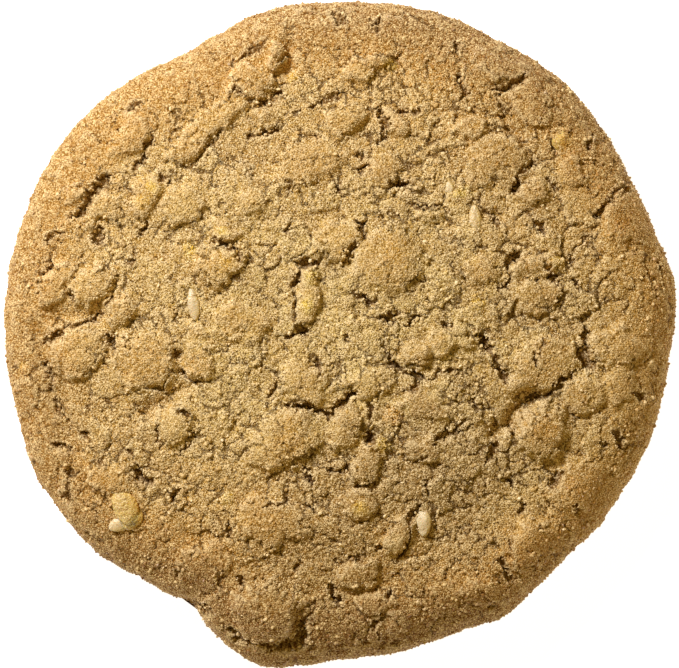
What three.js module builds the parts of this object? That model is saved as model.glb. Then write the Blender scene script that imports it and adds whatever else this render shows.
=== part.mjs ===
// A pecan shortbread: one round biscuit with a cracked, crumbly top, lying flat on its underside.
// Millimetres, +Z up. The origin is the middle of the underside, and +Y is the far side from above.
import * as THREE from "three";
import { ConvexHull } from "three/addons/math/ConvexHull.js";

const { degToRad, smoothstep, clamp, seededRandom } = THREE.MathUtils;

// The whole biscuit
const MEAN_RADIUS = 29.3;
const SPREAD_TOWARD = 135; // degrees from +X: the dough spread a little further to this side
const SPREAD_BY = 0.7;
const MIDDLE_HEIGHT = 8.9; // the top between its lumps, in the middle
const DOME_DROP = 1.9; // the top falls this much from the middle to a radius of DOME_REACH
const DOME_REACH = 25;
const EDGE_HEIGHT = 3; // the widest line round the side
const RIM_ROUND = 4.6; // how far in from the edge the rounded rim starts
const RIM_FULLNESS = 2.2; // 2 is an ellipse, more is squarer
const FOOT_INSET = 0.9; // the underside stays this far inside the widest line
const RELIEF_STARTS = 0.3; // the relief fades out over the rim, between these two insets
const RELIEF_FULL = 2.4;

// Swells and dents of the edge seen from above: angle, spread (both degrees), how far out
const EDGE_SWELLS = [
  [7, 11, 1], [48, 14, 0.5], [92, 6, -0.3], [119, 14, -1.3], [170, 22, 0.3], [205, 7, 0.35],
  [234, 10, -1.3], [241, 3.5, -1], [256, 6.5, 1.45], [264, 4, 0.3], [288, 10, -0.2], [300, 4, 0.4],
  [315, 6, -0.45], [343, 9, 0.3],
];
const SIDE_RAGGED = 0.2; // the crumb of the side steps in and out by this much

// Lumps of dough that stand up from the plateau: x, y, length, width, turn in degrees, rise
const LUMPS = [
  [-18.4, 17.6, 4.6, 3.4, 50, 0.6], [-24, 12.2, 2.4, 1.8, 20, 0.4], [-20.9, 10.9, 2.6, 2.6, 0, 0.4],
  [-17.3, 11.7, 3.2, 2.6, 40, 0.5], [-14, 11, 3.4, 3, 100, 0.45], [-13.2, 17.3, 5.5, 2.2, 45, 0.5],
  [-8.3, 22.3, 5, 3.6, 30, 0.6], [-5.9, 24.9, 2.6, 1.8, 60, 0.5], [-10, 19.5, 3.4, 3.2, 0, 0.4],
  [2.6, 23.5, 4.4, 1.7, 8, 0.55], [0.9, 19, 4.4, 3.2, 20, 0.5], [5, 18.6, 2.4, 2.4, 0, 0.5],
  [-2.8, 15.2, 6, 3.4, 10, 0.35], [3.6, 14.4, 4, 3.2, 30, 0.35], [14, 23.6, 5.4, 3.2, -20, 0.6],
  [16.6, 20.6, 5, 3.4, -50, 0.5], [11.3, 18.2, 3.2, 1.6, 0, 0.35], [13.4, 15.3, 5, 3.8, 0, 0.35],
  [17, 12.8, 3.2, 3, 0, 0.45], [25.2, 10.6, 5, 3.6, -65, 0.4], [20.6, 14.4, 2.8, 2.4, 90, 0.35],
  [-25, 4.2, 4.8, 2.2, 62, 0.5], [-22, 4.3, 4.8, 3.2, 65, 0.6], [-19.6, 1.9, 2.7, 2.5, 0, 0.5],
  [-23.2, -1.4, 5.6, 4, 15, 0.6], [-17.4, -2.4, 6, 5.6, 0, 0.5], [-12.4, -2.3, 3.6, 2.8, 90, 0.45],
  [-14.7, -8.4, 3.4, 2.9, 90, 0.55], [-10.9, 6.1, 4.2, 3.6, 0, 0.55], [-10.4, 9.1, 2.8, 1.8, 0, 0.35],
  [-0.6, 8.2, 4.8, 4, 20, 0.6], [4.1, 6.5, 6.6, 5.4, 60, 0.6], [-3, 2.8, 5.6, 2.2, 95, 0.5],
  [6.3, -1.9, 3.4, 2.4, -20, 0.5], [8.7, -0.8, 3.2, 2.8, 0, 0.45], [0.2, -8.2, 4.4, 3.2, 80, 0.5],
  [-5.2, -9.6, 7, 5.4, 15, 0.6], [-3.4, -4.2, 4.6, 3.6, 0, 0.45], [2.2, -4.2, 3.6, 2.6, 0, 0.35],
  [7.6, -6.4, 4.8, 2.6, -5, 0.35], [2.2, -11.4, 3.6, 2.4, 80, 0.45], [-9, 1, 4.6, 4, 0, 0.45],
  [17.2, 3.2, 4.2, 3, 0, 0.4], [17.2, 5.8, 3.2, 2, 0, 0.35], [12.8, 5.6, 3.6, 2.6, 0, 0.35],
  [17.9, -3, 5.4, 3.8, 20, 0.5], [17.6, -8.6, 5.2, 4, 75, 0.75], [24.3, -1.4, 4.4, 4, 0, 0.5],
  [21.2, -5.4, 4.2, 4, 0, 0.45], [24.2, -4.6, 3, 2.4, 0, 0.35], [-20.3, -12.9, 3.2, 2.6, 0, 0.4],
  [-6.4, -24.3, 6.2, 5.4, 0, 0.7], [5, -18, 4, 2.6, 62, 0.5], [1.4, -15, 2.8, 2.6, 0, 0.45],
  [1.1, -21, 4.4, 2.6, 10, 0.45], [-5.8, -16.6, 6.2, 4, 0, 0.4], [4.8, -25.8, 2.8, 2.2, 0, 0.35],
  [6.9, -10.2, 3.2, 1.8, 25, 0.35], [3, -23.6, 4, 2.6, 0, 0.35], [20.6, -13.4, 5, 4, 60, 0.4],
  [17, -18.5, 5, 3.4, 45, 0.4], [-12.5, -20.5, 5, 4, 0, 0.35], [-7.4, 11.5, 2.8, 2.4, 0, 0.4],
];

// Small crumbs of dough strewn over the top between those lumps
const CRUMB_COUNT = 420;
const CRUMB_SIZE = [1.3, 2.8];
const CRUMB_RISE = [0.1, 0.3];

// Broad troughs between lumps: x and y of both ends, width, depth
const TROUGHS = [
  [16.5, -5.8, 13.8, -8.7, 1.3, 0.9], [-14.1, -1.8, -13.8, -4.6, 1, 0.6], [-13.8, -4.6, -17, -6.8, 1.4, 0.7],
  [-25.4, -4.3, -24.8, -8, 1.6, 0.45], [-4.5, 25.4, -4.9, 23.3, 1, 0.7], [-3.6, -24, -3.3, -26, 1, 0.6],
  [-26, 1.5, -21.5, 1.8, 1, 0.5], [-24, -12, -22.5, -14, 1.2, 0.4], [14.1, 19.2, 15.9, 17, 1, 0.6],
];

// Cracks and holes: x and y of both ends, bow to the left of that line, width, depth
const CRACKS = [
  [-19.4, 19.4, -17.6, 20.6, -0.1, 0.35, 0.8], [-16.4, 18.1, -17.8, 15.4, 0.18, 0.35, 0.9],
  [-20.4, 13.9, -22.4, 11.3, -0.5, 0.9, 1.4], [-22.3, 11.3, -23.9, 10.3, 0.1, 0.5, 1],
  [-21.2, 9.3, -21.7, 7.9, 0, 0.9, 1.3], [-16.8, 10.2, -17.9, 8.7, 0.2, 0.35, 0.7],
  [-15.9, 13.8, -15, 13, 0, 0.5, 0.8], [-8.4, 17.4, -5.3, 18.5, -0.2, 0.3, 0.8],
  [3.1, 19.9, 3.9, 17.6, 0.1, 0.5, 1.2], [4.7, 19.8, 7.2, 19.6, 0.05, 0.35, 0.8],
  [4.1, 12.6, 6, 13.5, 0, 0.5, 1], [1.6, 14.2, 2.2, 15.1, 0, 0.4, 0.8], [-0.7, 28.5, 0.1, 27.4, 0, 0.45, 0.7],
  [1, 10, 2, 8.4, 0.4, 0.35, 0.8], [10.1, 22.7, 10.5, 20.3, 0.5, 0.35, 0.9],
  [16.5, 23.1, 13.2, 21.3, 0.35, 0.45, 0.9], [18.4, 17.4, 18.8, 15.9, 0.2, 0.35, 0.8],
  [17.2, 15.3, 15.2, 13.7, 0, 0.4, 0.8], [15.2, 13.6, 15.3, 12.3, 0, 0.4, 0.9],
  [25.2, 13, 23.6, 12, 0, 0.3, 0.7], [23.5, 11.8, 22.5, 10.1, 0, 0.5, 1], [17.3, 10, 18, 8.7, 0.2, 0.45, 1],
  [-26, 8.1, -24.7, 9.1, 0.3, 0.45, 0.8], [-24, 3.7, -23.6, 2.9, 0, 0.45, 0.9],
  [-26.4, -0.7, -24.4, 0.5, 0, 0.4, 1], [-24.2, 0.6, -21, 1.7, -0.1, 0.4, 0.8],
  [-20.6, 0, -19.9, -1.4, 0, 0.7, 1.2], [-13.9, -3.2, -12.2, -4, -0.45, 0.35, 0.9],
  [-13, -8.4, -14.2, -10.6, 0.2, 0.35, 0.8], [-25.5, -9.5, -24.3, -10.2, 0, 0.4, 0.8],
  [-11.2, 8.3, -8.8, 6.4, 0.35, 0.4, 0.8], [-4, 6.1, -2.2, 6.2, 0, 0.55, 1.4],
  [-3.7, 5.6, -4.3, 3.9, 0, 0.5, 1.2], [-4.1, 3.7, -4, 1, 0, 0.3, 0.9], [-4.1, 0.7, -3.1, 0, 0, 0.55, 1.2],
  [1.3, 8.1, 0.1, 6.1, -0.1, 0.5, 1], [0.9, 3.6, 2.9, 2.5, 0.1, 0.4, 0.9], [3, 1.2, 5.2, 1.8, 0, 0.4, 1],
  [5.5, 0.8, 7.2, 1.5, 0, 0.4, 1], [3.6, -0.4, 4.6, -2.7, -0.15, 0.4, 0.9],
  [4.7, -2.8, 7.8, -4, -0.15, 0.35, 0.9], [8, -4, 10.4, -3.2, 0.35, 0.3, 0.7],
  [-4.7, -6.6, -1.2, -7.2, 0.5, 0.45, 1.1], [-1, -7.2, 1.2, -5, 0, 0.4, 1], [2, -8.9, 3, -9.6, 0, 0.7, 1.2],
  [8.2, -9.6, 11.2, -7.4, 0.1, 0.4, 0.8], [15.6, 7.2, 14.5, 6, 0, 0.7, 1.3],
  [14.9, 5.4, 13.7, 4, 0.38, 0.35, 0.9], [18, 6.3, 19.2, 4.3, 0, 0.4, 0.8],
  [20.4, 7.6, 22.1, 8.5, 0, 0.35, 0.8],
  [21.5, 1.7, 21.3, -0.8, 0, 0.35, 0.8], [21.2, -1.1, 22.2, -3, -0.3, 0.8, 1.4],
  [20.6, -3, 18, -5.5, 0.1, 0.4, 1.1], [17.7, -5.6, 16, -5.9, 0, 0.35, 0.8],
  [12.1, -0.1, 14.3, -4.3, 0.27, 0.6, 1.2], [25.5, -5, 26.8, -5.7, 0, 0.5, 0.8],
  [24.2, -8.5, 24.9, -10.3, 0, 0.45, 0.8], [-18.1, -11.5, -17.7, -12.7, 0, 0.7, 1.3],
  [-17.5, -12.9, -16.3, -13, 0, 0.55, 1.1], [-14.1, -13.3, -15, -14.9, -0.1, 0.4, 0.8],
  [-5.9, -28, -3, -26.6, -0.2, 0.55, 1.2], [-10.3, -26, -6.2, -27.6, -0.2, 0.3, 0.7],
  [-9.1, -21.3, -8.5, -22.2, 0, 0.5, 0.9], [-1, -21.9, -0.3, -24, 0, 0.6, 1.2],
  [4.1, -22.9, 4.7, -23.1, 0, 0.7, 0.9],
  [7.3, -13, 7.5, -14.4, 0, 0.35, 0.8], [7, -15.1, 6.2, -16.9, -0.3, 0.3, 0.7],
  [4.2, -20.3, 6.2, -17.3, -0.5, 0.3, 0.7], [13.7, -9.5, 12.7, -11.3, 0, 0.45, 0.9],
  [19.5, -12, 18.3, -13.7, 0, 0.45, 0.7], [13.7, -20, 14.7, -21.3, 0.2, 0.5, 0.9],
];

// Chips of pecan bedded in the top: x, y, length, width, turn in degrees, rise
const CHIPS = [
  [-13, 2.6, 2.9, 0.95, 97, 0.35], [11.7, 9.9, 2.2, 0.95, 90, 0.35], [7.2, -16.7, 2.6, 1.2, 85, 0.4],
  [-19.1, -15.2, 3.6, 1.9, 110, 0.5], [4.6, -18.4, 2, 1.5, 70, 0.35], [19.3, 17.2, 1.5, 1.2, 0, 0.35],
  [10.8, 12.4, 1.4, 0.8, 0, 0.3], [4.2, 23.7, 1.3, 1, 0, 0.3], [-13.6, -14.6, 1.8, 1.2, 90, 0.3],
];

// How closely the surface is sampled
const RIM_POINTS = 190;
const GRID_SPACING = 0.85;
const GRID_JITTER = 0.16;
const CRACK_STEP = 0.75;
const FEATURE_CLEARANCE = 0.42;
const TOP_EDGE_INSET = 0.4;
const SEED = 11;

function edgeRadius(angle) {
  let radius = MEAN_RADIUS + SPREAD_BY * Math.cos(angle - degToRad(SPREAD_TOWARD));
  for (const [at, spread, out] of EDGE_SWELLS) {
    const away = Math.atan2(Math.sin(angle - degToRad(at)), Math.cos(angle - degToRad(at)));
    radius += out * Math.exp(-((away / degToRad(spread)) ** 2));
  }
  return radius;
}

// The low dome of the top with its rounded rim, before any relief.
// A place is given by its radius and by its inset from the edge.
function plainHeight(radius, inset) {
  const dome = MIDDLE_HEIGHT - DOME_DROP * (radius / DOME_REACH) ** 2;
  const outward = clamp(1 - inset / RIM_ROUND, 0, 1);
  const share = (1 - outward ** RIM_FULLNESS) ** (1 / RIM_FULLNESS);
  return EDGE_HEIGHT + (dome - EDGE_HEIGHT) * share;
}

// Distance of a plan point from the middle of an oval, where 1 is on the oval
function ovalDistance(x, y, [atX, atY, length, width, turn]) {
  const cos = Math.cos(degToRad(turn));
  const sin = Math.sin(degToRad(turn));
  const along = (x - atX) * cos + (y - atY) * sin;
  const across = (y - atY) * cos - (x - atX) * sin;
  return Math.hypot(along / (length / 2), across / (width / 2));
}

function between([low, high]) {
  return low + (high - low) * seededRandom();
}

function strewnCrumbs() {
  seededRandom(SEED);
  return Array.from({ length: CRUMB_COUNT }, () => {
    const angle = 2 * Math.PI * seededRandom();
    const radius = MEAN_RADIUS * Math.sqrt(seededRandom());
    const size = between(CRUMB_SIZE);
    const turn = 180 * seededRandom();
    return [radius * Math.cos(angle), radius * Math.sin(angle), size, 0.75 * size, turn, between(CRUMB_RISE)];
  });
}

function highest(x, y, mounds) {
  let rise = 0;
  for (const mound of mounds) {
    const shoulder = 1 - smoothstep(ovalDistance(x, y, mound), 0.5, 1.2);
    rise = Math.max(rise, mound[5] * shoulder);
  }
  return rise;
}

// Lumps with wavering outlines, and the crumbs on and between them
function lumpRise(x, y) {
  const bentX = x + 0.3 * Math.sin(1.7 * y + 0.6 * x + 1) + 0.15 * Math.sin(3.1 * y - 2.3 * x);
  const bentY = y + 0.3 * Math.sin(1.6 * x - 0.5 * y + 2) + 0.15 * Math.sin(2.9 * x + 2.1 * y);
  return highest(bentX, bentY, LUMPS) + highest(bentX, bentY, crumbs);
}

function troughDepth(x, y) {
  let depth = 0;
  for (const [x1, y1, x2, y2, width, deepest] of TROUGHS) {
    const long = Math.hypot(x2 - x1, y2 - y1);
    const share = clamp(((x - x1) * (x2 - x1) + (y - y1) * (y2 - y1)) / long ** 2, 0, 1);
    const away = Math.hypot(x - x1 - share * (x2 - x1), y - y1 - share * (y2 - y1));
    depth = Math.max(depth, deepest * Math.exp(-((away / (0.6 * width)) ** 2)));
  }
  return depth;
}

function chipRise(x, y) {
  let rise = 0;
  for (const chip of CHIPS) {
    const away = ovalDistance(x, y, chip);
    rise = Math.max(rise, chip[5] * (1 - smoothstep(away, 0.7, 1)));
  }
  return rise;
}

function topHeight(x, y) {
  const radius = Math.hypot(x, y);
  const inset = edgeRadius(Math.atan2(y, x)) - radius;
  const fade = smoothstep(inset, RELIEF_STARTS, RELIEF_FULL);
  return plainHeight(radius, inset) + fade * (lumpRise(x, y) - troughDepth(x, y)) + chipRise(x, y);
}

const crumbs = strewnCrumbs();

// Points down a crack: its ends lie on the surface, and each station between has a floor and two lips
function crackPoints([x1, y1, x2, y2, bow, width, depth]) {
  const long = Math.hypot(x2 - x1, y2 - y1);
  const sideX = -(y2 - y1) / long;
  const sideY = (x2 - x1) / long;
  const steps = Math.max(3, Math.round(long / CRACK_STEP));
  const points = [];
  for (let step = 0; step <= steps; step++) {
    const share = step / steps;
    const open = Math.sqrt(4 * share * (1 - share));
    const wander = 0.12 * open * (seededRandom() - 0.5);
    const aside = 4 * bow * share * (1 - share) + wander;
    const x = x1 + (x2 - x1) * share + sideX * aside;
    const y = y1 + (y2 - y1) * share + sideY * aside;
    const half = (width / 2) * open;
    if (half < 0.05) {
      points.push({ x, y, drop: 0 });
      continue;
    }
    points.push({ x, y, drop: depth * open });
    points.push({ x: x + sideX * half, y: y + sideY * half, drop: 0 });
    points.push({ x: x - sideX * half, y: y - sideY * half, drop: 0 });
  }
  return points;
}

// Points on a chip: one ring at its foot, one at its shoulder, and one on its crown
function chipPoints([atX, atY, length, width, turn]) {
  const points = [{ x: atX, y: atY, drop: 0 }];
  const sides = length > 2 ? 10 : 7;
  for (const share of [0.68, 1.02]) {
    for (let side = 0; side < sides; side++) {
      const angle = (2 * Math.PI * side) / sides;
      const spot = new THREE.Vector2((length / 2) * Math.cos(angle), (width / 2) * Math.sin(angle));
      spot.multiplyScalar(share).rotateAround(new THREE.Vector2(), degToRad(turn));
      points.push({ x: atX + spot.x, y: atY + spot.y, drop: 0 });
    }
  }
  return points;
}

function rimRing() {
  const ring = [];
  for (let step = 0; step < RIM_POINTS; step++) {
    const angle = (2 * Math.PI * step) / RIM_POINTS;
    const radius = edgeRadius(angle) - TOP_EDGE_INSET;
    ring.push({ x: radius * Math.cos(angle), y: radius * Math.sin(angle), drop: 0 });
  }
  return ring;
}

function isClear(point, others, clearance) {
  return others.every((other) => Math.hypot(point.x - other.x, point.y - other.y) > clearance);
}

// All plan points of the top: its edge first, then chips and cracks, then an uneven grid between them
function topPoints() {
  seededRandom(SEED);
  const ring = rimRing();
  const features = [];
  for (const point of [...CHIPS.flatMap(chipPoints), ...CRACKS.flatMap(crackPoints)]) {
    if (isClear(point, features, 0.1) && isClear(point, ring, 0.2)) {
      features.push(point);
    }
  }
  const grid = [];
  const rowGap = GRID_SPACING * Math.sqrt(0.75);
  const reach = Math.ceil((MEAN_RADIUS + 3) / rowGap);
  for (let row = -reach; row <= reach; row++) {
    for (let column = -reach; column <= reach; column++) {
      const x = (column + (row % 2) / 2) * GRID_SPACING + GRID_JITTER * (seededRandom() - 0.5);
      const y = row * rowGap + GRID_JITTER * (seededRandom() - 0.5);
      const inset = edgeRadius(Math.atan2(y, x)) - Math.hypot(x, y);
      if (inset > TOP_EDGE_INSET + FEATURE_CLEARANCE && isClear({ x, y }, features, FEATURE_CLEARANCE)) {
        grid.push({ x, y, drop: 0 });
      }
    }
  }
  return [...ring, ...features, ...grid];
}

// Triangles between plan points. The points are pulled onto a round disc and lifted onto a bowl;
// the underside of the hull of the bowl and a peak high above it joins each point to its neighbours.
function joinPoints(points) {
  const peak = new THREE.Vector3(0, 0, 1000);
  const numberOf = new Map();
  const bowl = points.map(({ x, y }, number) => {
    const radius = edgeRadius(Math.atan2(y, x)) - TOP_EDGE_INSET;
    const lifted = new THREE.Vector3(x / radius, y / radius, (x * x + y * y) / radius ** 2);
    numberOf.set(lifted, number);
    return lifted;
  });
  const hull = new ConvexHull().setFromPoints([...bowl, peak]);
  const triangles = [];
  for (const face of hull.faces) {
    const corners = [face.edge, face.edge.next, face.edge.prev].map((edge) => edge.head().point);
    if (!corners.includes(peak)) {
      triangles.push(corners.map((corner) => numberOf.get(corner)).reverse());
    }
  }
  return triangles;
}

function shortbreadGeometry() {
  const points = topPoints();
  const positions = points.map(({ x, y, drop }) => new THREE.Vector3(x, y, topHeight(x, y) - drop));
  const indices = joinPoints(points).flat();

  // Rows round the side, from below the top's edge down to the underside: inset, height
  const rows = [
    [0.08, plainHeight(MEAN_RADIUS, 0.08)],
    [0, EDGE_HEIGHT],
    [0.3 * FOOT_INSET, 0.35 * EDGE_HEIGHT],
    [FOOT_INSET, 0],
  ];
  let above = 0;
  for (const [inset, height] of rows) {
    const below = positions.length;
    for (let step = 0; step < RIM_POINTS; step++) {
      const angle = (2 * Math.PI * step) / RIM_POINTS;
      const ragged = height > 0 ? SIDE_RAGGED * (seededRandom() - 0.5) : 0;
      const radius = edgeRadius(angle) - inset + ragged;
      positions.push(new THREE.Vector3(radius * Math.cos(angle), radius * Math.sin(angle), height));
    }
    for (let step = 0; step < RIM_POINTS; step++) {
      const next = (step + 1) % RIM_POINTS;
      indices.push(above + step, below + step, below + next);
      indices.push(above + step, below + next, above + next);
    }
    above = below;
  }

  // The flat underside
  const middle = positions.length;
  positions.push(new THREE.Vector3(0, 0, 0));
  for (let step = 0; step < RIM_POINTS; step++) {
    indices.push(middle, above + ((step + 1) % RIM_POINTS), above + step);
  }

  const geometry = new THREE.BufferGeometry().setFromPoints(positions);
  geometry.setIndex(indices);
  geometry.computeBoundingBox();
  const { min, max } = geometry.boundingBox;
  geometry.translate(-(min.x + max.x) / 2, -(min.y + max.y) / 2, -min.z);
  geometry.computeVertexNormals();
  return geometry;
}

const baked = new THREE.MeshStandardMaterial({ color: 0xb8925a, roughness: 0.9, metalness: 0 });
const shortbread = new THREE.Mesh(shortbreadGeometry(), baked);
shortbread.name = "shortbread";

const part = new THREE.Group();
part.name = "pecan_shortbread";
part.add(shortbread);

export default part;
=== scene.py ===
import math

import bmesh
import bpy
import numpy as np
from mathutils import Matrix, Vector
from mathutils.geometry import delaunay_2d_cdt


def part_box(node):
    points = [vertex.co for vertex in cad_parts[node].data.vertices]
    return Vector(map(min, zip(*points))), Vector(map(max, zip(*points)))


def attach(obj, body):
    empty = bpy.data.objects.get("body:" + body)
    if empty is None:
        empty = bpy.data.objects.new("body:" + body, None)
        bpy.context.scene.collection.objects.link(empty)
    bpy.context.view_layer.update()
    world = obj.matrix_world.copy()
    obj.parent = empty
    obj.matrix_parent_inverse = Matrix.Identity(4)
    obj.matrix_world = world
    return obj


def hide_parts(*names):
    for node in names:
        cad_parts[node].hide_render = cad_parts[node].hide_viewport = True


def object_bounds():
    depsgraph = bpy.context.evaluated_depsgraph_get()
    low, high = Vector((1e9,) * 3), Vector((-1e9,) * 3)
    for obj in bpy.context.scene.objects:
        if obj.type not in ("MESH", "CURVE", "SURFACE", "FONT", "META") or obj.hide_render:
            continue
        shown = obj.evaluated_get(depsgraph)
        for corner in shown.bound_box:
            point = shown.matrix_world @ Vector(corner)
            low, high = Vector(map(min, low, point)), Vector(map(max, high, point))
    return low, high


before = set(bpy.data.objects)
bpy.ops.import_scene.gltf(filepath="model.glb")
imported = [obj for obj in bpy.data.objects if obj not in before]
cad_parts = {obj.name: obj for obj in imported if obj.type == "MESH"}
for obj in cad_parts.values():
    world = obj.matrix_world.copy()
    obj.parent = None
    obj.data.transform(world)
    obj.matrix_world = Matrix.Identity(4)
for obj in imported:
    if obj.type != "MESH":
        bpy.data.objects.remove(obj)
cad_low, cad_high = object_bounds()

# Everything below is worked out in millimetres and turned into metres when a mesh is made.
MM = 0.001
NODE = "shortbread"
SEED = 7

# The form, as in the solid. Shares are of the solid's height.
MEAN_RADIUS = 29.3
SPREAD_TOWARD = 135
SPREAD_BY = 0.7
MIDDLE_SHARE = 0.93  # the top between its lumps, in the middle
DOME_SHARE = 0.198  # how far the top falls from the middle to a radius of DOME_REACH
DOME_REACH = 25
EDGE_SHARE = 0.313  # the widest line round the side
RIM_ROUND = 4.6
RIM_FULLNESS = 2.2
FOOT_INSET = 0.9

# Swells and dents of the edge: angle, spread (both degrees), how far out
EDGE_SWELLS = [
    (7, 11, 1), (48, 14, 0.5), (92, 6, -0.3), (119, 14, -1.3), (170, 22, 0.3), (205, 7, 0.35),
    (234, 10, -1.3), (241, 3.5, -1), (256, 6.5, 1.45), (264, 4, 0.3), (288, 10, -0.2), (300, 4, 0.4),
    (315, 6, -0.45), (343, 9, 0.3),
]

# Lumps of dough: x, y, length, width, turn in degrees, rise
LUMPS = [
    (-18.4, 17.6, 4.6, 3.4, 50, 0.6), (-24, 12.2, 2.4, 1.8, 20, 0.4), (-20.9, 10.9, 2.6, 2.6, 0, 0.4),
    (-17.3, 11.7, 3.2, 2.6, 40, 0.5), (-14, 11, 3.4, 3, 100, 0.45), (-13.2, 17.3, 5.5, 2.2, 45, 0.5),
    (-8.3, 22.3, 5, 3.6, 30, 0.6), (-5.9, 24.9, 2.6, 1.8, 60, 0.5), (-7, 19.1, 1.9, 1.6, 0, 0.35),
    (-10, 19.5, 3.4, 3.2, 0, 0.4), (2.6, 23.6, 4.6, 2.6, 8, 0.5), (0.9, 19, 4.4, 3.2, 20, 0.5),
    (5, 18.6, 2.4, 2.4, 0, 0.5), (-2.8, 15.2, 6, 3.4, 10, 0.35), (3.6, 14.4, 4, 3.2, 30, 0.35),
    (14, 23.6, 5.4, 3.2, -20, 0.6), (16.6, 20.6, 5, 3.4, -50, 0.5), (11.3, 18.2, 3.2, 1.6, 0, 0.35),
    (13.4, 15.3, 5, 3.8, 0, 0.35), (17, 12.8, 3.2, 3, 0, 0.45), (25.2, 10.6, 5, 3.6, -65, 0.4),
    (20.6, 14.4, 2.8, 2.4, 90, 0.35), (-25, 4.2, 4.8, 2.2, 62, 0.5), (-22, 4.3, 4.8, 3.2, 65, 0.6),
    (-19.6, 1.9, 2.7, 2.5, 0, 0.5), (-23.2, -1.4, 5.6, 4, 15, 0.6), (-17.4, -2.4, 6, 5.6, 0, 0.5),
    (-12.4, -2.3, 3.6, 2.8, 90, 0.45), (-12.7, 0.2, 2.2, 2, 0, 0.3), (-14.7, -8.4, 3.4, 2.9, 90, 0.55),
    (-10.9, 6.1, 4.2, 3.6, 0, 0.55), (-10.4, 9.1, 2.8, 1.8, 0, 0.35), (-0.6, 8.2, 4.8, 4, 20, 0.6),
    (4.1, 6.5, 6.6, 5.4, 60, 0.6), (-3, 2.8, 5.6, 2.2, 95, 0.5), (6.3, -1.9, 3.4, 2.4, -20, 0.5),
    (8.7, -0.8, 3.2, 2.8, 0, 0.45), (0.2, -8.2, 4.4, 3.2, 80, 0.5), (-5.2, -9.6, 7, 5.4, 15, 0.6),
    (-3.4, -4.2, 4.6, 3.6, 0, 0.45), (2.2, -4.2, 3.6, 2.6, 0, 0.35), (7.6, -6.4, 4.8, 2.6, -5, 0.35),
    (2.2, -11.4, 3.6, 2.4, 80, 0.45), (-9, 1, 4.6, 4, 0, 0.45), (17.2, 3.2, 4.2, 3, 0, 0.4),
    (17.2, 5.8, 3.2, 2, 0, 0.35), (12.8, 5.6, 3.6, 2.6, 0, 0.35), (17.9, -3, 5.4, 3.8, 20, 0.5),
    (19.6, -1.6, 2.2, 1.6, 0, 0.35), (17.6, -8.6, 5.2, 4, 75, 0.75), (24.3, -1.4, 4.4, 4, 0, 0.5),
    (21.2, -5.4, 4.2, 4, 0, 0.45), (24.2, -4.6, 3, 2.4, 0, 0.35), (10.6, -0.4, 2.6, 2.4, 0, 0.3),
    (-20.3, -12.9, 3.2, 2.6, 0, 0.4), (-6.4, -24.3, 6.2, 5.4, 0, 0.7), (5, -18, 4, 2.6, 62, 0.5),
    (1.4, -15, 2.8, 2.6, 0, 0.45), (1.1, -21, 4.4, 2.6, 10, 0.45), (-5.8, -16.6, 6.2, 4, 0, 0.4),
    (4.8, -25.8, 2.8, 2.2, 0, 0.35), (6.9, -10.2, 3.2, 1.8, 25, 0.35), (3, -23.6, 4, 2.6, 0, 0.35),
    (20.6, -13.4, 5, 4, 60, 0.4), (17, -18.5, 5, 3.4, 45, 0.4), (12.2, -22.8, 3.4, 2.6, 0, 0.3),
    (-12.5, -20.5, 5, 4, 0, 0.35), (8, 10.6, 2.4, 1.4, 0, 0.3), (-7.4, 11.5, 2.8, 2.4, 0, 0.4),
]

# Broad troughs: x and y of both ends, width, depth
TROUGHS = [
    (16.5, -5.8, 13.8, -8.7, 1.5, 1.1), (-14.1, -1.8, -13.8, -4.6, 1, 0.6), (-13.8, -4.6, -17, -6.8, 1.4, 0.7),
    (-26.9, 0.6, -25.9, -3.1, 1.3, 0.6), (-25.9, -3.1, -25.4, -6.2, 1.8, 0.7), (-25.4, -6.2, -24.3, -9, 1.8, 0.6),
    (-24.3, -9, -23.6, -11.4, 1.4, 0.4), (-4.5, 25.4, -4.9, 23.3, 1, 0.7), (-3.6, -24, -3.3, -26, 1, 0.6),
    (5, 24.1, 5.2, 22.9, 0.7, 0.4), (-26, 1.5, -21.5, 1.8, 1, 0.5), (-24, -12, -22.5, -14, 1.2, 0.4),
    (12, 10.8, 13.6, 10.4, 1, 0.4), (14.1, 19.2, 15.9, 17, 1, 0.6), (4, -21, 18, -12, 6, 0.5),
]

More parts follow.
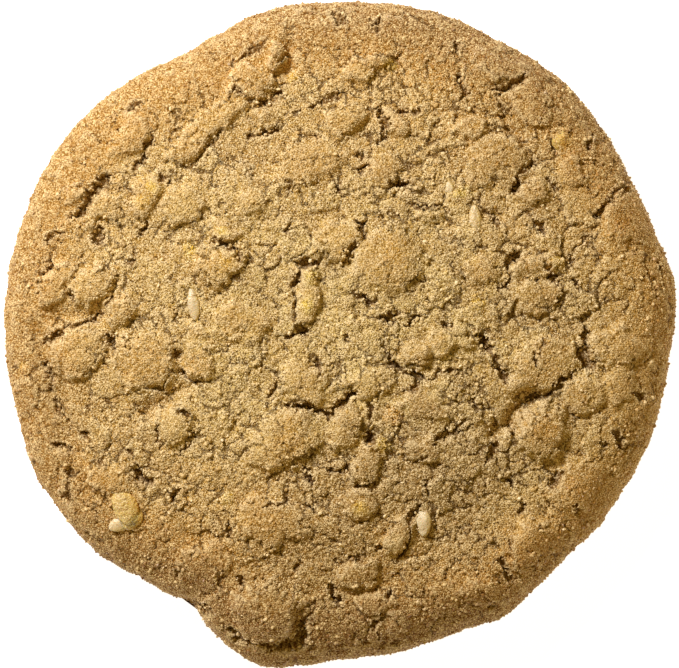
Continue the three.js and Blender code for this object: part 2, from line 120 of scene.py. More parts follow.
# Cracks and holes: x and y of both ends, width, depth, and for a bent one its bow to the left
CRACKS = [
    (-19.4, 19.4, -17.6, 20.6, 0.35, 0.8, -0.1), (-16.4, 18.1, -17.8, 15.4, 0.35, 0.9, 0.18),
    (-17.8, 15.4, -17.9, 14.1, 0.25, 0.6, -0.15), (-20.4, 13.9, -22.4, 11.3, 0.9, 1.4, -0.5),
    (-22.3, 11.3, -23.9, 10.3, 0.5, 1, 0.1), (-21.2, 9.3, -21.7, 7.9, 0.9, 1.3),
    (-16.8, 10.2, -17.9, 8.7, 0.35, 0.7, 0.2), (-15.9, 13.8, -15, 13, 0.5, 0.8),
    (-10.1, 23.3, -6.2, 25.9, 0.35, 0.6, 0.25), (-9.6, 21.5, -8.5, 20.8, 0.3, 0.6),
    (-7.7, 20, -5, 22, 0.4, 0.5, -0.4), (-8.4, 17.4, -5.3, 18.5, 0.3, 0.8, -0.2), (-4.3, 19.2, 0.1, 21.1, 0.3, 0.5),
    (-1.6, 20.6, 0, 21, 0.5, 0.6), (3.1, 19.9, 3.9, 17.6, 0.5, 1.2, 0.1), (3.9, 17.6, 3.2, 16.7, 0.3, 0.8),
    (4.7, 19.8, 7.2, 19.6, 0.35, 0.8, 0.05), (4.1, 12.6, 6, 13.5, 0.5, 1), (1, 15.6, 2, 15.9, 0.35, 0.7),
    (1.6, 14.2, 2.2, 15.1, 0.4, 0.8), (-0.7, 28.5, 0.1, 27.4, 0.45, 0.7), (3.4, 28.4, 3, 26.3, 0.3, 0.6),
    (1, 10, 2, 8.4, 0.35, 0.8, 0.4), (10, 25.9, 10.3, 25.1, 0.5, 0.7), (10.1, 22.7, 10.5, 20.3, 0.35, 0.9, 0.5),
    (16.5, 23.1, 13.2, 21.3, 0.45, 0.9, 0.35), (13.7, 21, 14.4, 19.4, 0.25, 0.6),
    (18.4, 17.4, 18.8, 15.9, 0.35, 0.8, 0.2), (17.2, 15.3, 15.2, 13.7, 0.4, 0.8),
    (15.2, 13.8, 15.3, 12.3, 0.4, 0.9), (18.1, 13.8, 19.2, 12.6, 0.35, 0.7), (25.2, 13, 23.6, 12, 0.3, 0.7),
    (23.6, 12, 22.5, 10.1, 0.5, 1), (12, 11.6, 14, 9.5, 0.3, 0.7), (17.3, 10, 18, 8.7, 0.45, 1, 0.2),
    (12.3, 12.8, 12.2, 11.9, 0.4, 0.6), (-26, 8.1, -24.7, 9.1, 0.45, 0.8, 0.3), (-25.6, 6.2, -26.7, 4.9, 0.25, 0.8),
    (-18, 7.6, -18.6, 6.1, 0.3, 0.7), (-24, 3.7, -23.6, 2.9, 0.45, 0.9), (-20.4, 3.2, -20.7, 2.4, 0.35, 0.9),
    (-26.4, -0.7, -24.4, 0.5, 0.4, 1), (-24.4, 0.5, -21, 1.7, 0.4, 0.8, -0.1), (-20.6, 0, -19.9, -1.4, 0.7, 1.2),
    (-13.9, -3.2, -12.2, -4, 0.35, 0.9, -0.45), (-14, -6.6, -13.1, -7.5, 0.3, 0.7),
    (-13, -8.4, -14.2, -10.6, 0.35, 0.8, 0.2), (-15.9, -7.2, -15.9, -9.8, 0.2, 0.5, -0.2),
    (-25.5, -9.5, -24.3, -10.2, 0.4, 0.8), (-22.8, -8.7, -22.6, -9.5, 0.35, 0.7),
    (-11.2, 8.3, -8.8, 6.4, 0.4, 0.8, 0.35), (-19.5, -9.6, -17.9, -11.2, 0.2, 0.5), (-4, 6.1, -2.2, 6.2, 0.55, 1.4),
    (-3.7, 5.6, -4.3, 3.9, 0.5, 1.2), (-4.1, 3.9, -4, 1, 0.3, 0.9), (-4.1, 0.7, -3.1, 0, 0.55, 1.2),
    (-4, 0.2, -4.9, -0.7, 0.35, 0.8), (1.3, 8.1, 0.1, 6.1, 0.5, 1, -0.1), (0.9, 3.6, 2.9, 2.5, 0.4, 0.9, 0.1),
    (3, 1.2, 5.4, 1.8, 0.4, 1), (4, 1.9, 4.4, 0.9, 0.5, 1.1), (5.4, 0.8, 7.2, 1.5, 0.4, 1),
    (6.1, 4.3, 7, 5.3, 0.3, 0.6), (8.8, 1, 9.8, 0.7, 0.35, 0.8), (3.6, -0.4, 4.6, -2.7, 0.4, 0.9, -0.15),
    (4.6, -2.7, 7.8, -4, 0.35, 0.9, -0.15), (7.9, -4, 10.4, -3.2, 0.3, 0.7, 0.35), (7.3, -4.1, 5.6, -5.2, 0.3, 0.7),
    (-4.7, -6.6, -1.2, -7.2, 0.45, 1.1, 0.5), (-1.2, -7.3, 1.2, -5, 0.4, 1), (2.7, -6.1, 2.5, -7.6, 0.35, 0.8),
    (2, -8.9, 3, -9.6, 0.7, 1.2), (-1.4, -1.1, -0.9, -2.3, 0.25, 0.7, -0.1), (-2.4, -2.2, -1.6, -3.6, 0.3, 0.7),
    (-5.7, -4.2, -6.5, -5.5, 0.4, 0.7), (8.2, -9.6, 11.2, -7.4, 0.4, 0.8, 0.1), (-5.1, 8.5, -4.2, 9.6, 0.35, 0.7),
    (15.6, 7.2, 14.5, 6, 0.7, 1.3), (15, 5.5, 13.7, 4, 0.35, 0.9, 0.38), (18, 6.3, 19.2, 4.3, 0.4, 0.8),
    (19.2, 4.3, 19, 2.5, 0.25, 0.7, 0.15), (20.3, 7.3, 20.2, 5.7, 0.3, 0.8), (20.4, 7.6, 22.1, 8.5, 0.35, 0.8),
    (20.6, 4.7, 21, 3.7, 0.3, 0.6), (21.5, 1.7, 21.3, -1.2, 0.35, 0.8), (21.2, -1, 22.2, -3, 0.8, 1.4, -0.3),
    (20.6, -3, 18, -5.5, 0.4, 1.1, 0.1), (18, -5.5, 16, -5.9, 0.35, 0.8), (12.1, -0.1, 14.3, -4.3, 0.6, 1.2, 0.27),
    (10.9, 1, 11.8, 0, 0.25, 0.5), (16.7, -1.6, 17, -2.9, 0.25, 0.6, 0.2), (17.9, -0.3, 17.7, -1.6, 0.6, 0.6),
    (25.5, -5, 26.8, -5.7, 0.5, 0.8), (24.2, -8.5, 24.9, -10.3, 0.45, 0.8), (22.6, -9.4, 23.3, -9.9, 0.35, 0.5),
    (20.4, -7, 20.8, -7.4, 0.3, 0.6), (11.4, -5.8, 12.9, -6.6, 0.3, 0.6), (28, 6, 28.4, 5.7, 0.5, 0.5),
    (-21.4, -11.1, -20.6, -11.9, 0.3, 0.7), (-18.1, -11.5, -17.7, -12.9, 0.7, 1.3),
    (-17.9, -12.7, -16.6, -12.9, 0.55, 1.2), (-24.4, -12.7, -23.2, -12.1, 0.3, 0.5),
    (-24.5, -13.5, -24.2, -14.9, 0.4, 0.5), (-14.1, -13.3, -15, -14.9, 0.4, 0.8, -0.1),
    (-14.8, -21.1, -14, -20.7, 0.2, 0.4, -0.2), (-13.4, -19.7, -12.6, -18.7, 0.3, 0.4),
    (-10, -16.6, -9.9, -17.5, 0.3, 0.5), (-13, -23.8, -11.7, -24.7, 0.4, 0.6),
    (-10.3, -26, -6, -27.6, 0.5, 1.1, -0.4), (-5.9, -27.9, -3, -26.6, 0.75, 1.4, -0.2),
    (-3.1, -26.8, -3.5, -25.8, 0.4, 0.9), (-9.1, -21.3, -8.5, -22.2, 0.5, 0.9), (-1, -21.9, -0.3, -24, 0.6, 1.2),
    (4.1, -23, 4.6, -23, 0.7, 0.9), (3.3, -25.2, 2.8, -25.8, 0.3, 0.5), (2.8, -25.8, 3.6, -27, 0.3, 0.6),
    (-1.5, -11.9, 0.6, -11.8, 0.25, 0.7, -0.3), (1.1, -13.2, 3.2, -12.9, 0.45, 0.6, -0.2),
    (7.3, -13, 7.5, -14.4, 0.35, 0.8), (7, -15.1, 6.2, -16.9, 0.3, 0.7, -0.3), (4.2, -13.8, 3.8, -14.8, 0.25, 0.6),
    (-3.3, -11.7, -2.6, -13.2, 0.3, 0.7), (-7, -14.9, -4.3, -14.9, 0.2, 0.5), (-3.1, -15.1, -2.3, -15.8, 0.2, 0.5),
    (-0.6, -20, 2, -19.8, 0.2, 0.5), (-3.7, -19.9, -3.9, -21.1, 0.25, 0.5),
    (4.2, -20.3, 6.2, -17.3, 0.3, 0.7, -0.5), (3.1, -19, 3.6, -19.2, 0.3, 0.5),
    (5.6, -10.9, 7.6, -10.7, 0.3, 0.5, -0.4), (4, -10.5, 3.8, -12.1, 0.25, 0.6),
    (13.7, -9.5, 12.7, -11.3, 0.45, 0.9), (19.5, -12, 18.3, -13.7, 0.45, 0.7), (15.8, -14.7, 15.8, -15.9, 0.3, 0.7),
    (17.2, -16.8, 18, -17.1, 0.3, 0.6), (20.3, -15.1, 20.8, -15.8, 0.3, 0.5),
    (13.7, -20, 14.7, -21.3, 0.5, 0.9, 0.2), (14.6, -21.3, 15.1, -22.2, 0.35, 0.6),
    (15, -18.1, 15, -19.2, 0.2, 0.4), (15, -12.9, 14.7, -13.5, 0.35, 0.6), (15.5, -13.2, 16.2, -13.5, 0.3, 0.6),
    (-4.3, 13.4, -5, 12, 0.2, 0.5), (-0.1, 13.6, -0.2, 11.9, 0.2, 0.5), (6.1, 11.3, 9.3, 11.2, 0.2, 0.5, -0.1),
    (0.1, 23.5, 0.9, 24.2, 0.35, 0.6), (22.4, 17.9, 22, 16.3, 0.3, 0.5), (0.1, 0.1, 0.8, -0.7, 0.25, 0.5),
    (-26.3, -2.4, -25.7, -5, 0.3, 0.6, 0.15), (-25.4, -5.6, -24.6, -7.7, 0.35, 0.6, -0.15),
]

# Slivers and chunks of pecan: x, y, length, width, turn in degrees, tone (0 cream, 1 yellow, 2 orange), how bare
CHIPS = [
    (-13, 2.6, 2.9, 0.95, 98, 0, 0.75), (11.75, 9.9, 2.8, 1.15, 93, 0.3, 0.45),
    (7.25, -16.6, 2.6, 1.2, 92, 0, 0.72), (-19, -15.2, 3.7, 2, 112, 0.8, 0.6),
    (-18.5, -16.1, 2.4, 2, 60, 0.8, 0.4), (-19.5, -16.7, 2.3, 1.2, 26, 0.1, 0.42),
    (19.2, 17.1, 1.7, 1.3, 80, 1.1, 0.4), (9.5, 12.8, 1.2, 0.75, 110, 0.1, 0.55),
]

# Flecks of toasted nut that stain the dough: x, y, length, width, turn in degrees,
# tone (-1 cream, 0 yellow, 1 orange)
FLECKS = [
    (19.3, 17.2, 2.4, 2, 0, 0.7), (10.8, 12.4, 2.2, 1.1, 10, 0), (4.2, 23.7, 1.8, 1.3, 0, 0.2),
    (-16.5, 12.9, 1.8, 1.2, -40, 0.3), (-10.3, 8.8, 1.7, 1.1, 0, 0.2), (-13.2, 7.3, 2, 1.3, 90, 0.2),
    (4.4, -7.2, 2.4, 1.9, 0, 0.9), (-13.6, -14.6, 2, 1.4, 90, 0.7), (-10, -14.4, 1.4, 1.3, 0, 0.3),
    (3.7, -9.7, 1.6, 1.4, 0, 0.2), (-4.3, 22.5, 1.4, 1.2, 0, 0.5), (18.9, 6.4, 1.6, 1.3, 0, 0.3),
    (12, 2.8, 1.3, 1.1, 0, 0.3), (1.6, -15.3, 1.8, 1.6, 0, 0.3), (-28.2, -3, 0.9, 0.7, 0, 0.9),
    (-2.6, 5, 1.7, 1.4, 60, 0), (-3, 2.4, 2, 1.2, 90, 0), (18, -8.2, 3.8, 2.7, 20, 0.85),
    (-17.4, 11.6, 2.2, 1.6, 30, 0.5), (-9.8, 6.4, 2.6, 2.2, 0, 0.6), (-4.6, -9.4, 4, 3.2, 20, 0.75),
    (4.6, 7, 3.4, 2.6, 50, 0.7), (4.5, -18.4, 3.4, 2.3, 60, -1),
]

# Paler (more than 0) and duller (less than 0) patches of the dough, partly its own tone and partly painted light and
# painted shade: x, y, reach, amount
TINTS_AND_PAINTED_LIGHT = [
    (9.5, -12.5, 7, -0.95), (-1, -18, 8, -0.9), (-9.5, -10, 5, 1), (17.5, -18, 4, 0.75), (25.5, -3, 4, 0.8),
    (4.3, -18.4, 1.8, 1), (-12.5, -7.5, 3.5, 0.5), (-8, -13, 3, 0.5), (16, 16, 3, -0.4), (-22.5, -1, 2.5, 0.4),
    (-19, 3, 5, 0.4), (14.5, 14, 4, -0.3), (17, 3, 4, -0.3), (0, 2, 6, 0.5), (2.6, 23.5, 2.2, 1.2),
    (-14, 11, 2.5, 1), (10.6, -0.4, 2, 1), (-25, 4.2, 2.5, 1), (8, 10.6, 2, 1), (0.9, 19, 2.5, 0.7),
    (-24, 12.2, 2, 0.8), (-20.9, 10.9, 2, 0.7), (2.2, -4.2, 2, 0.7), (-14.7, -8.4, 2, 0.7), (-7.4, 11.5, 2, 0.5),
    (-10, 19.5, 2, 0.5), (-26.2, -1, 1.4, -0.8), (-25.6, -4.5, 2, -1.1), (-24.6, -8.6, 2, -1),
    (-12.5, -20.5, 3, 0.6), (-6.4, -24.5, 3.5, -1), (6.9, -10.2, 2, -0.8), (14, 23.6, 3, -0.6),
    (1.1, -21, 2.5, -0.5), (3.6, 14.4, 2.5, -0.4), (16.6, 20.6, 2.5, -0.4), (4.1, 6.5, 3, -0.6),
]

# Parts of the rim made browner (more than 0) and less brown (less than 0), partly the baked colour and partly painted
# shade and painted light: angle, spread (both degrees), how much
RIM_BROWNING_AND_PAINTED_LIGHT = [(335, 45, -0.3), (265, 38, 1.35), (75, 42, 0.65), (180, 36, 0.2)]

# Layers of noise: how much, size of the bumps, seed. A layer that bends a place takes the next seed too.
LUMP_BENDS = [(0.6, 2.8, 35), (0.35, 1.2, 31), (0.16, 0.5, 33)]
SHOULDER_LAYERS = [(0.14, 2.0, 37)]
CRACK_BENDS = [(0.26, 0.6, 41), (0.2, 0.25, 43)]
FLECK_BENDS = [(0.25, 0.6, 71)]
CRUMB_BENDS = [(0.45, 1.3, 1), (0.2, 0.6, 3), (0.1, 0.3, 7)]
SWELL_LAYERS = [(0.12, 5.0, 21), (0.07, 2.4, 22)]
GRAIN_LAYERS = [(0.03, 0.5, 23), (0.02, 0.3, 24)]
SIDE_LAYERS = [(0.07, 1.1, 25)]

# Lumps, in shares of a lump's rise or of the way out to its oval
LUMP_ROUND = 0.82  # rise of the round dome
LUMP_STEP = 0.6  # rise of the steep shoulder
LUMP_REACH = 1.15  # where the dome ends
SHOULDER_AT = 0.82
SHOULDER_WIDTH = 0.3

TROUGH_SLOPE = 0.6  # share of its width in which a trough mostly rises again

# Cracks
CRACK_HALF = 0.75  # half the opening, in listed widths
CRACK_EXTRA = 0.08
CRACK_BED = 0.45  # share of the half that is the bed
CRACK_DEPTH = 0.68  # share of the listed depth
CRACK_TIP = 0.02  # its fourth root is how far a crack still opens at its ends
CRACK_BOLD = 0.6  # deeper cracks than this are less broken up
CRACK_NEAR = 0.6  # how far ragged cracks may reach past their sides
BROKEN_LEAST, BROKEN_MORE = 0.45, 0.55  # width that a broken crack keeps, and the rest
BROKEN_SIZE, BROKEN_SEED = 1.0, 45

# Flecks
FLECK_BOLD = 2  # longer flecks than this are fainter
FLECK_CORE = 0.8  # share of a fleck that has its full colour,
FLECK_SOFTER = 0.2  # less this for each millimetre of its length
FLECK_REACH = 1.15
FLECK_RISE = 0.12

# Clumps of crumb: size, seed, how far they are rounded, stepped and tilted, width of the seams between them,
# and the size, seed and lower limit of the noise that opens those seams
CLUMPS = [
    (2.5, 5, 0.1, 0.27, 0.15, 0.15, 2.2, 15, -0.2),
    (1.15, 9, 0.05, 0.11, 0.07, 0.12, 1.4, 16, -0.1),
]
SEAM_OPEN = 0.3  # the noise at which a seam is fully open
SEAM_CLOSING = 0.12  # how far seams close where the dough is smooth
SEAM_DEPTH = 0.16
CLUMP_SCATTER = 0.9  # how far the middles of clumps stray from an even grid
SMALL_TEAR, LARGE_TEAR = 0.5, 0.3  # how far a clump carries lumps and troughs with it
CRACK_TEAR = 0.2

# Down the rim
RELIEF_LOST = 0.8  # share of the relief that is lost down the rim
RELIEF_LOST_BY = 5
SMOOTH_LUMP, SMOOTH_RIM = 0.65, 0.45  # share of the crumb that is lost on lumps and rim
INNER_BROWN, OUTER_BROWN = 0.28, 0.72
FOOT_FADE = 0.8  # the relief fades out over this much above the foot
UNDER_STARTS = 4  # how far down the rim the underside's colour sets in

# How closely the surface is sampled: finest in the cracks, twice that on the top, four times down the side
FINE_SPACING = 0.102
SIDE_STARTS = 3.2  # how far down the rim from the plateau
CRACKS_END = 6  # how far down the rim the finest places go
CRACK_MARGIN = 0.06  # how far past a crack's sides
JITTER = 0.3  # how far places stray from the lattice, in spacings
SWELL_ROOM = 2  # how far the edge swells past its mean radius, at most
FOOT_POINTS = 420
FOOT_GAP = 0.4
UNDER_SPACING = 0.9
UNDER_ROWS, UNDER_COLUMNS = 40, 60
UNDER_GAP = 0.6
UNDER_PITS = 0.12
PROUD_ROUNDS, CREST_ROUNDS = 60, 5  # rounds of evening that heights are set against
ROW_STEP = math.sqrt(0.75)  # between the rows of a lattice of even triangles

# Grains, torn bits and chips on the surface
LOWEST_GRAIN, LOWEST_BIT, LOWEST_CHIP = 0.3, 2, 4  # they lie where it is higher than this
GRAIN_COUNT = 24000
CRUMB_SIZES, SUGAR_SIZES = (0.12, 0.21), (0.09, 0.16)
GRAIN_SUNK, BIT_SUNK = 0.15, 0.1  # depth that they are bedded, in half their size
BIT_COUNT = 9500
BIT_SMALLEST, BIT_RANGE = 0.18, 0.32
UNEVEN = (0.7, 1.25)  # how far they are stretched
LEAST_HEIGHT = 0.02  # grains stay clear of the floor

# Chips, in shares of a chip's width, apart from the last
CHIP_THICK = 0.28  # half the thickness
CHIP_NEAR = 0.6  # reach of the surface that a chip lies on
CHIP_LIFT = 0.52  # rise from the least to the most bare
CHIP_SUNK = 0.12

# Light, floor and camera, in metres, degrees and watts, with lens and sensor in millimetres
KEY_AZIMUTH, KEY_ELEVATION = 131, 40
KEY_DISTANCE, KEY_SIZE = 0.28, 0.06
KEY_POWER = 0.85
KEY_COLOUR = (1, 1, 1.1)
WORLD_COLOUR = (1, 0.73, 0.22, 1)
WORLD_STRENGTH = 0.28
FLOOR_REACH = 4.0
FLOOR_DROP = 0.00005
FLOOR_COLOUR = (0.9, 0.9, 0.9, 1)
FLOOR_GLOW = 0.94
LENS, SENSOR = 250, 36
PICTURE_SHARE = 1.0076  # width of the picture, in widths of the photographed biscuit
BOX_SHARE = 0.9964  # width of the solid's box, in the same


def smoothstep(value, low, high):
    share = np.clip((value - low) / (high - low), 0, 1)
    return share * share * (3 - 2 * share)


def scatter(i, j, seed):
    """A fixed random number from 0 to 1 for each pair of whole numbers."""
    wave = np.sin(i * 127.1 + j * 311.7 + seed * 74.7) * 43758.5453
    return wave - np.floor(wave)


def second_number(own):
    """Another number from 0 to 1 for each clump, from its own one."""
    return own * 37.3 % 1


def grid_noise(u, v, seed):
    """Smooth noise from -1 to 1 on a square grid of whole numbers."""
    i, j = np.floor(u), np.floor(v)
    a, b = u - i, v - j
    a, b = a * a * (3 - 2 * a), b * b * (3 - 2 * b)
    near = scatter(i, j, seed) * (1 - a) + scatter(i + 1, j, seed) * a
    far = scatter(i, j + 1, seed) * (1 - a) + scatter(i + 1, j + 1, seed) * a
    return 2 * (near * (1 - b) + far * b) - 1


def noise(u, v, size, seed):
    """Smooth noise from about -1 to 1, with its bumps about size apart: two grids turned across each other."""
    total = 0
    for turn in (2.4 * seed, 2.4 * seed + 0.8):
        cos, sin = math.cos(turn) / size, math.sin(turn) / size
        total = total + 0.7 * grid_noise(u * cos - v * sin, u * sin + v * cos, seed + turn)
    return total


def layered(value, u, v, layers, next_seed=0):
    """A value with layers of noise added to it."""
    for much, size, seed in layers:
        value = value + much * noise(u, v, size, seed + next_seed)
    return value


def bent(u, v, layers):
    """Places pushed about by layers of noise."""
    return layered(u, u, v, layers), layered(v, u, v, layers, 1)


def clumps(u, v, size, seed):
    """Clumps of crumb: how rounded and how tilted a place is, its margin to the next clump, and the own number of its
    clump, from 0 to 1."""
    i, j = np.floor(u / size), np.floor(v / size)
    first = np.full(u.shape, np.inf)
    second = first.copy()
    own, aside_u, aside_v = np.zeros((3, *u.shape))
    for di in (-1, 0, 1):
        for dj in (-1, 0, 1):
            ci, cj = i + di, j + dj
            from_u = u - (ci + 0.5 + CLUMP_SCATTER * (scatter(ci, cj, seed) - 0.5)) * size
            from_v = v - (cj + 0.5 + CLUMP_SCATTER * (scatter(ci, cj, seed + 1) - 0.5)) * size
            away = np.hypot(from_u, from_v)
            nearer = away < first
            second = np.where(nearer, first, np.minimum(second, away))
            first = np.where(nearer, away, first)
            own = np.where(nearer, scatter(ci, cj, seed + 2), own)
            aside_u, aside_v = np.where(nearer, from_u, aside_u), np.where(nearer, from_v, aside_v)
    lean = 2 * np.pi * (own * 91.7 % 1)
    tilt = (aside_u * np.cos(lean) + aside_v * np.sin(lean)) / size
    dome = np.sqrt(np.clip((second - first) / (0.75 * size), 0, 1))
    return dome - 0.6, tilt, second - first, own


def oval_distance(x, y, at_x, at_y, length, width, turn):
    """Distance from the middle of an oval, where 1 is on the oval."""
    cos, sin = math.cos(math.radians(turn)), math.sin(math.radians(turn))
    along = (x - at_x) * cos + (y - at_y) * sin
    across = (y - at_y) * cos - (x - at_x) * sin
    return np.hypot(along / (length / 2), across / (width / 2))


def swelled(value, angle, swells):
    """Values round the biscuit, with swells and dents added to them."""
    for at, spread, more in swells:
        away = np.angle(np.exp(1j * (angle - math.radians(at))))
        value = value + more * np.exp(-(away / math.radians(spread)) ** 2)
    return value


def plain_edge(angle):
    """Radius of the edge."""
    even = MEAN_RADIUS + SPREAD_BY * np.cos(angle - math.radians(SPREAD_TOWARD))
    return swelled(even, angle, EDGE_SWELLS)


class Form:
    """The smooth biscuit that the relief is put on, fitted to the solid's box.

    A place on it is given on an unrolled disc: flat over the top, then on down the rim and the side to the foot.
    """

    EDGE_STEPS = 1440
    RIM_STEPS = 200

    def __init__(self):
        low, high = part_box(NODE)
        height = (high.z - low.z) / MM
        self.middle_height = MIDDLE_SHARE * height
        self.dome = DOME_SHARE * height
        self.edge_height = EDGE_SHARE * height
        self.base = low.z / MM
        turn = np.linspace(0, 2 * np.pi, self.EDGE_STEPS, endpoint=False)
        edge = plain_edge(turn) * np.stack([np.cos(turn), np.sin(turn)])
        self.middle = (edge.max(1) + edge.min(1)) / 2
        self.scale = np.array([high.x - low.x, high.y - low.y]) / MM / np.ptp(edge, 1)

        # Down the rim and the side: inset, share of the rise above the edge, share of the edge's height
        quarter = np.linspace(0, np.pi / 2, self.RIM_STEPS)
        power = 2 / RIM_FULLNESS
        below = quarter[1:]
        self.inset = np.concatenate([RIM_ROUND * (1 - np.sin(quarter) ** power), FOOT_INSET * (1 - np.cos(below))])
        self.above = np.concatenate([np.cos(quarter) ** power, np.zeros(len(below))])
        self.lower = np.concatenate([np.ones(len(quarter)), 1 - np.sin(below)])
        rise = self.height_at(MEAN_RADIUS - self.inset, self.above, self.lower)
        self.down = np.concatenate([[0], np.cumsum(np.hypot(np.diff(self.inset), np.diff(rise)))])
        self.lean = np.arctan2(-np.gradient(self.inset, self.down), -np.gradient(rise, self.down))

    def height_at(self, radius, above, lower):
        top = self.middle_height - self.dome * (radius / DOME_REACH) ** 2
        return lower * self.edge_height + above * (top - self.edge_height)

    def length(self):
        """How far it is down the rim and the side to the foot."""
        return self.down[-1]

    def place(self, u, v):
        """Points of the surface, their outward directions, and how far down the rim they are (less than 0 on top)."""
        reach, angle = np.hypot(u, v), np.arctan2(v, u)
        flat = plain_edge(angle) - RIM_ROUND
        down = np.minimum(reach - flat, self.length())
        on_top = down < 0
        radius = np.where(on_top, reach, flat + RIM_ROUND - np.interp(down, self.down, self.inset))
        above = np.interp(down, self.down, self.above)
        z = self.height_at(radius, above, np.interp(down, self.down, self.lower))
        slope = np.arctan(2 * self.dome * radius / DOME_REACH ** 2)
        lean = np.where(on_top, slope, np.pi / 2 - np.interp(down, self.down, self.lean))
        points = np.stack([radius * np.cos(angle), radius * np.sin(angle), z], 1)
        outward = np.sin(lean)
        normals = np.stack([outward * np.cos(angle), outward * np.sin(angle), np.cos(lean)], 1)
        return points, normals, down

    def to_frame(self, points):
        """Millimetres of the photograph's plan to metres of the row frame."""
        moved = points.copy()
        moved[:, :2] = (moved[:, :2] - self.middle) * self.scale
        moved[:, 2] += self.base
        return moved * MM


def lump_rise(x, y):
    """Rise of the lumps, and how near a place is to the crown of one, from 0 to 1."""
    bent_x, bent_y = bent(x, y, LUMP_BENDS)
    steep = layered(SHOULDER_AT, x, y, SHOULDER_LAYERS)
    rise, crown = np.zeros((2, *x.shape))
    for *oval, up in LUMPS:
        away = oval_distance(bent_x, bent_y, *oval)
        dome = np.clip(1 - (away / LUMP_REACH) ** 2, 0, 1)
        shoulder = 1 - smoothstep(away, steep, steep + SHOULDER_WIDTH)
        rise = np.maximum(rise, up * (LUMP_ROUND * dome + LUMP_STEP * shoulder))
        crown = np.maximum(crown, dome)
    return rise, crown


def trough_depth(x, y):
    depth = np.zeros(x.shape)
    for x1, y1, x2, y2, width, deepest in TROUGHS:
        span = (x2 - x1) ** 2 + (y2 - y1) ** 2
        share = np.clip(((x - x1) * (x2 - x1) + (y - y1) * (y2 - y1)) / span, 0, 1)
        away = np.hypot(x - x1 - share * (x2 - x1), y - y1 - share * (y2 - y1))
        depth = np.maximum(depth, deepest * np.exp(-(away / (TROUGH_SLOPE * width)) ** 2))
    return depth


def crack_depth(x, y, widen=0.0):
    """Depth of the cracks, which have ragged sides and pinched ends, and how open they are from 0 to 1."""
    ragged_x, ragged_y = bent(x, y, CRACK_BENDS)
    whole = BROKEN_LEAST + BROKEN_MORE * smoothstep(noise(x, y, BROKEN_SIZE, BROKEN_SEED), -0.6, 0.2)
    depth, opened = np.zeros((2, *x.shape))
    for x1, y1, x2, y2, width, deepest, *bows in CRACKS:
        bow, long = sum(bows), math.hypot(x2 - x1, y2 - y1)
        reach = long / 2 + width + abs(bow) + CRACK_NEAR
        near = np.flatnonzero(np.hypot(x - (x1 + x2) / 2, y - (y1 + y2) / 2) < reach)
        if not len(near):
            continue
        from_x, from_y = ragged_x[near] - x1, ragged_y[near] - y1
        along = (from_x * (x2 - x1) + from_y * (y2 - y1)) / long
        across = (from_y * (x2 - x1) - from_x * (y2 - y1)) / long
        share = np.clip(along / long, 0, 1)
        past = np.maximum(0, np.maximum(-along, along - long))
        away = np.hypot(across - 4 * bow * share * (1 - share), past)
        bold = min(1, max(0, deepest - CRACK_BOLD))
        ends = np.sqrt(np.sqrt(np.clip(4 * share * (1 - share), CRACK_TIP, 1)))
        pinch = ends * (whole[near] + bold * (1 - whole[near]))
        half = (CRACK_HALF * width + CRACK_EXTRA) * pinch + widen
        here = 1 - smoothstep(away, CRACK_BED * half, half)
        depth[near] = np.maximum(depth[near], CRACK_DEPTH * deepest * pinch * here)
        opened[near] = np.maximum(opened[near], here)
    return depth, opened


def fleck_share(x, y):
    """How far a place is in a fleck of nut, from 0 to 1, and that fleck's tone."""
    bent_x, bent_y = bent(x, y, FLECK_BENDS)
    share, tone = np.zeros((2, *x.shape))
    for at_x, at_y, length, width, turn, own_tone in FLECKS:
        away = oval_distance(bent_x, bent_y, at_x, at_y, length, width, turn)
        core = max(0, FLECK_CORE - FLECK_SOFTER * length)
        here = min(1, FLECK_BOLD / length) * (1 - smoothstep(away, core, FLECK_REACH))
        tone = np.where(here > share, own_tone, tone)
        share = np.maximum(share, here)
    return share, tone


def tint_and_painted_light_share(x, y):
    """How much paler or duller than elsewhere the dough is painted, partly for its own tone and partly as painted
    light and shade.
    """
    total = np.zeros(x.shape)
    for at_x, at_y, reach, amount in TINTS_AND_PAINTED_LIGHT:
        total += amount * np.exp(-((x - at_x) ** 2 + (y - at_y) ** 2) / reach ** 2)
    return total


def crumb_pattern(u, v):
    """The broken crumb: its height, how far a place is inside a seam between clumps (less than 0 outside it), and the
    own numbers of its large and small clumps."""
    bent_u, bent_v = bent(u, v, CRUMB_BENDS)
    height, seam, numbers = 0, -np.inf, []
    for size, seed, rounded, stepped, tilted, width, patch, patch_seed, shut in CLUMPS:
        dome, tilt, margin, own = clumps(bent_u, bent_v, size, seed)
        height = height + rounded * dome + stepped * (own - 0.5) + tilted * tilt
        opening = width * smoothstep(noise(u, v, patch, patch_seed), shut, SEAM_OPEN)
        seam = np.maximum(seam, opening - margin)
        numbers.append(own)
    return height, seam, *numbers


